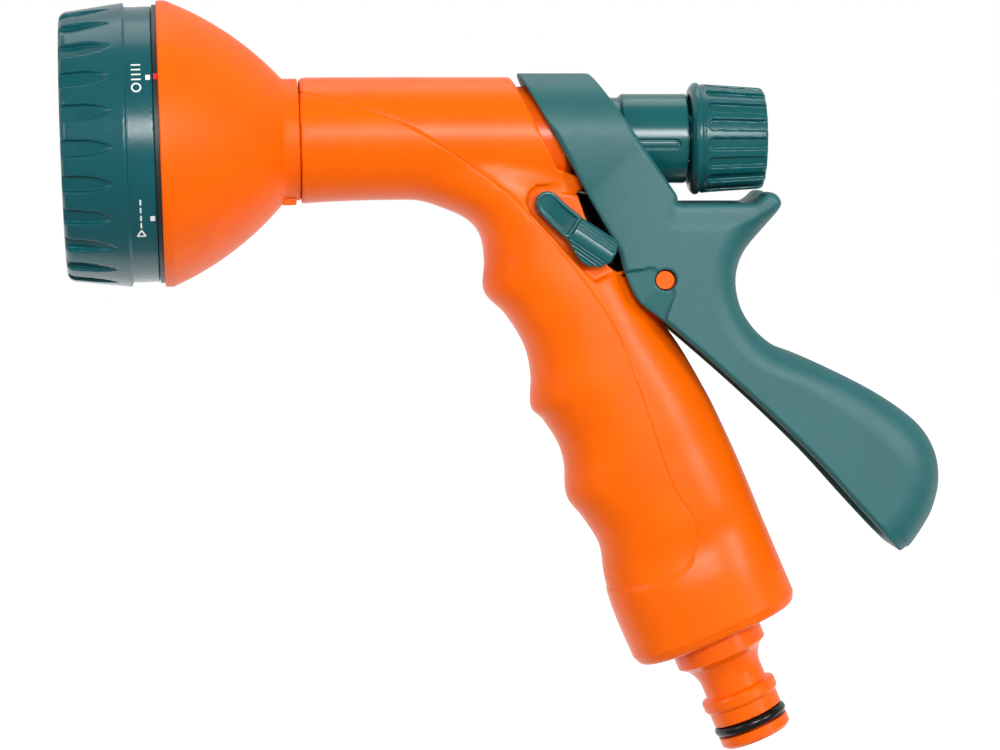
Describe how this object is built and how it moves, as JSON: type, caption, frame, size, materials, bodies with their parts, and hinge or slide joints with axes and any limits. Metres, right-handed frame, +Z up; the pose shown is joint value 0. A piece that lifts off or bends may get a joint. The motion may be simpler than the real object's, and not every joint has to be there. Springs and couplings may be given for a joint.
{
  "type": "hose spray nozzle",
  "caption": "Garden hose spray gun with a rear squeeze lever, flow knob, lock clip and rotating spray-pattern dial.",
  "frame": {"origin": "centre of the shoulder ring of the quick-connect nipple under the handle", "axes": "+Z up, barrel along X spraying towards -X, squeeze lever towards +X, +Y to the object's own left when it sprays away from the user at +X"},
  "size_m": [0.1926, 0.0624, 0.1653],
  "materials": {
    "orange_housing": "fine matt moulded",
    "orange_cover": "fine matt moulded",
    "orange_bell": "satin moulded",
    "orange_fittings": "satin moulded",
    "lever_plastic": "spark-eroded matt",
    "dial_plastic": "semi-gloss moulded",
    "knob_plastic": "semi-gloss moulded",
    "inner_plastic": "natural moulded",
    "base_plastic": "matt",
    "seal_rubber": "matt",
    "steel": "bright",
    "brass": "turned"
  },
  "bodies": {
    "housing": {"body_housing": "orange_housing", "grip_cover": "orange_cover", "handle_end_cap": "orange_fittings", "hose_connector": "orange_fittings", "connector_oring": "seal_rubber", "water_tube": "inner_plastic", "tube_orings": "seal_rubber", "valve_chamber": "orange_fittings", "valve_seat": "inner_plastic", "gland_oring": "seal_rubber", "return_spring": "steel", "lever_pivot_pin": "orange_fittings", "spray_head_bell": "orange_bell", "neck_oring": "seal_rubber", "selector_base": "base_plastic", "detent_ball": "steel", "detent_spring": "steel", "port_seal": "seal_rubber", "dial_washer": "steel", "dial_screw": "steel"},
    "lever": {"lever": "lever_plastic"},
    "valve": {"valve_stem": "brass", "valve_washer": "seal_rubber", "pull_sleeve": "knob_plastic"},
    "knob": {"flow_knob": "knob_plastic"},
    "dial": {"dial_ring": "dial_plastic", "spray_face": "dial_plastic", "pattern_diverter": "inner_plastic"},
    "clip": {"lock_clip": "knob_plastic"}
  },
  "joints": [
    {"name": "lever_squeeze", "type": "hinge", "parent": "housing", "child": "lever", "pos_m": [-0.0183, 0, 0.0924], "axis": [0, 1, 0], "range_deg": [0, 14], "stiffness_Nm_per_rad": 1.2, "springref_deg": -14.32},
    {"name": "valve_slide", "type": "slide", "parent": "housing", "child": "valve", "axis": [1, 0, 0], "range_m": [0, 0.008], "deforming": ["return_spring"]},
    {"name": "flow_turn", "type": "hinge", "parent": "valve", "child": "knob", "pos_m": [0, 0, 0.1229], "axis": [1, 0, 0], "range_deg": [0, 540]},
    {"name": "pattern_turn", "type": "hinge", "parent": "housing", "child": "dial", "pos_m": [-0.099, 0, 0.1227], "axis": [0.9995, 0, 0.0314], "continuous": true},
    {"name": "lock_swing", "type": "hinge", "parent": "housing", "child": "clip", "pos_m": [-0.0439, 0, 0.1089], "axis": [0, -1, 0], "range_deg": [0, 14]}
  ],
  "couplings": [
    {"joint": "valve_slide", "follows": "lever_squeeze", "m_per_rad": 0.0324}
  ]
}
